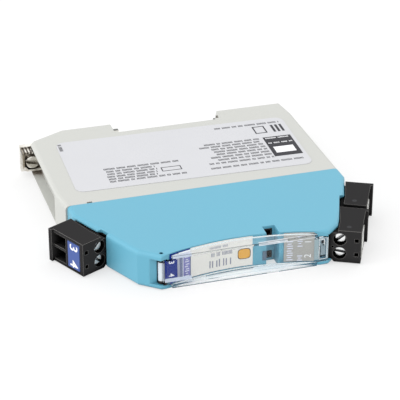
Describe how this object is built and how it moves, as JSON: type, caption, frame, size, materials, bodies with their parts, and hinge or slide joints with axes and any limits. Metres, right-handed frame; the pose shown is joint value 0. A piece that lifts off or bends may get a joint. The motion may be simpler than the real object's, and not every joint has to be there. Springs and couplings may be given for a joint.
{
  "type": "zener barrier",
  "caption": "Slim rail-mounted zener barrier with pull-off screw terminal plugs, a hinged clear tag cover and a screw clamp for the rail.",
  "frame": {"origin": "on the rail's centre line in the rail seat's plane, on the broad side that the module lies on", "axes": "+Z through the module's thickness, +Y towards the rail, -Y the front, +X towards the safe-area terminals"},
  "size_m": [0.1116, 0.1007, 0.0127],
  "materials": {
    "base_plastic": "fine matt moulding",
    "front_plastic": "fine matt moulding",
    "black_plastic": "fine matt moulding",
    "clear_plastic": "clear, polished",
    "label_film": "satin film",
    "hazard_film": "satin film",
    "name_film": "satin film",
    "safe_film": "satin film",
    "number_film_haz": "satin film",
    "number_film_safe": "satin film",
    "nickel_plate": "nickel-plated, satin",
    "screw_steel": "zinc-plated, bright",
    "contact_brass": "tin-flashed",
    "board_laminate": "solder resist",
    "fuse_glass": "lacquered",
    "resistor_body": "lacquered",
    "diode_body": "moulded"
  },
  "bodies": {
    "housing": {"base_housing": "base_plastic", "front_housing": "front_plastic", "side_label": "label_film", "hazard_label": "hazard_film", "name_label": "name_film", "safe_label": "safe_film", "front_sockets": "black_plastic", "header_haz": "black_plastic", "header_safe_a": "black_plastic", "header_safe_b": "black_plastic", "pins_haz": "contact_brass", "pins_safe_a": "contact_brass", "pins_safe_b": "contact_brass", "clamp_bracket": "nickel_plate", "rail_hook": "nickel_plate", "circuit_board": "board_laminate", "fuses": "fuse_glass", "resistors": "resistor_body", "zener_diodes": "diode_body"},
    "cover": {"tag_cover": "clear_plastic"},
    "rail_clamp_screw": {"clamp_screw": "nickel_plate"},
    "rail_clamp_bar": {"clamp_bar": "nickel_plate"},
    "plug_body_haz": {"plug_haz": "black_plastic", "plug_label_haz": "number_film_haz", "contacts_haz": "contact_brass"},
    "screw_body_haz_1": {"screw_haz_1": "screw_steel"},
    "cage_body_haz_1": {"cage_haz_1": "nickel_plate"},
    "screw_body_haz_2": {"screw_haz_2": "screw_steel"},
    "cage_body_haz_2": {"cage_haz_2": "nickel_plate"},
    "plug_body_safe_a": {"plug_safe_a": "black_plastic", "plug_label_safe_a": "number_film_safe", "contacts_safe_a": "contact_brass"},
    "screw_body_safe_a_1": {"screw_safe_a_1": "screw_steel"},
    "cage_body_safe_a_1": {"cage_safe_a_1": "nickel_plate"},
    "screw_body_safe_a_2": {"screw_safe_a_2": "screw_steel"},
    "cage_body_safe_a_2": {"cage_safe_a_2": "nickel_plate"},
    "plug_body_safe_b": {"plug_safe_b": "black_plastic", "plug_label_safe_b": "number_film_safe", "contacts_safe_b": "contact_brass"},
    "screw_body_safe_b_1": {"screw_safe_b_1": "screw_steel"},
    "cage_body_safe_b_1": {"cage_safe_b_1": "nickel_plate"},
    "screw_body_safe_b_2": {"screw_safe_b_2": "screw_steel"},
    "cage_body_safe_b_2": {"cage_safe_b_2": "nickel_plate"}
  },
  "joints": [
    {"name": "cover_hinge", "type": "hinge", "parent": "housing", "child": "cover", "pos_m": [-0.0268, -0.0876, 0.0063], "axis": [0, 0, -1], "range_deg": [0, 95]},
    {"name": "clamp_screw_turn", "type": "hinge", "parent": "housing", "child": "rail_clamp_screw", "pos_m": [-0.0498, 0, 0.0063], "axis": [0, 1, 0], "range_deg": [-668.6, 0]},
    {"name": "clamp_bar_slide", "type": "slide", "parent": "housing", "child": "rail_clamp_bar", "axis": [0, 1, 0], "range_m": [0, 0.0013]},
    {"name": "pull_haz", "type": "slide", "parent": "housing", "child": "plug_body_haz", "axis": [-0.8949, -0.4462, 0], "range_m": [0, 0.012]},
    {"name": "turn_haz_1", "type": "hinge", "parent": "plug_body_haz", "child": "screw_body_haz_1", "pos_m": [-0.04344, -0.07054, 0.00376], "axis": [-0.4462, 0.8949, 0], "range_deg": [0, 1440]},
    {"name": "lift_haz_1", "type": "slide", "parent": "plug_body_haz", "child": "cage_body_haz_1", "axis": [0.4462, -0.8949, 0], "range_m": [0, 0.002]},
    {"name": "turn_haz_2", "type": "hinge", "parent": "plug_body_haz", "child": "screw_body_haz_2", "pos_m": [-0.04344, -0.07054, 0.00884], "axis": [-0.4462, 0.8949, 0], "range_deg": [0, 1440]},
    {"name": "lift_haz_2", "type": "slide", "parent": "plug_body_haz", "child": "cage_body_haz_2", "axis": [0.4462, -0.8949, 0], "range_m": [0, 0.002]},
    {"name": "pull_safe_a", "type": "slide", "parent": "housing", "child": "plug_body_safe_a", "axis": [0.8949, -0.4462, 0], "range_m": [0, 0.012]},
    {"name": "turn_safe_a_1", "type": "hinge", "parent": "plug_body_safe_a", "child": "screw_body_safe_a_1", "pos_m": [0.04104, -0.07204, 0.00376], "axis": [0.4462, 0.8949, 0], "range_deg": [0, 1440]},
    {"name": "lift_safe_a_1", "type": "slide", "parent": "plug_body_safe_a", "child": "cage_body_safe_a_1", "axis": [-0.4462, -0.8949, 0], "range_m": [0, 0.002]},
    {"name": "turn_safe_a_2", "type": "hinge", "parent": "plug_body_safe_a", "child": "screw_body_safe_a_2", "pos_m": [0.04104, -0.07204, 0.00884], "axis": [0.4462, 0.8949, 0], "range_deg": [0, 1440]},
    {"name": "lift_safe_a_2", "type": "slide", "parent": "plug_body_safe_a", "child": "cage_body_safe_a_2", "axis": [-0.4462, -0.8949, 0], "range_m": [0, 0.002]},
    {"name": "pull_safe_b", "type": "slide", "parent": "housing", "child": "plug_body_safe_b", "axis": [0.8949, -0.4462, 0], "range_m": [0, 0.012]},
    {"name": "turn_safe_b_1", "type": "hinge", "parent": "plug_body_safe_b", "child": "screw_body_safe_b_1", "pos_m": [0.03292, -0.08833, 0.00376], "axis": [0.4462, 0.8949, 0], "range_deg": [0, 1440]},
    {"name": "lift_safe_b_1", "type": "slide", "parent": "plug_body_safe_b", "child": "cage_body_safe_b_1", "axis": [-0.4462, -0.8949, 0], "range_m": [0, 0.002]},
    {"name": "turn_safe_b_2", "type": "hinge", "parent": "plug_body_safe_b", "child": "screw_body_safe_b_2", "pos_m": [0.03292, -0.08833, 0.00884], "axis": [0.4462, 0.8949, 0], "range_deg": [0, 1440]},
    {"name": "lift_safe_b_2", "type": "slide", "parent": "plug_body_safe_b", "child": "cage_body_safe_b_2", "axis": [-0.4462, -0.8949, 0], "range_m": [0, 0.002]}
  ],
  "couplings": [
    {"joint": "clamp_screw_turn", "follows": "clamp_bar_slide", "rad_per_m": -8976},
    {"joint": "turn_haz_1", "follows": "lift_haz_1", "rad_per_m": 12566},
    {"joint": "turn_haz_2", "follows": "lift_haz_2", "rad_per_m": 12566},
    {"joint": "turn_safe_a_1", "follows": "lift_safe_a_1", "rad_per_m": 12566},
    {"joint": "turn_safe_a_2", "follows": "lift_safe_a_2", "rad_per_m": 12566},
    {"joint": "turn_safe_b_1", "follows": "lift_safe_b_1", "rad_per_m": 12566},
    {"joint": "turn_safe_b_2", "follows": "lift_safe_b_2", "rad_per_m": 12566}
  ]
}
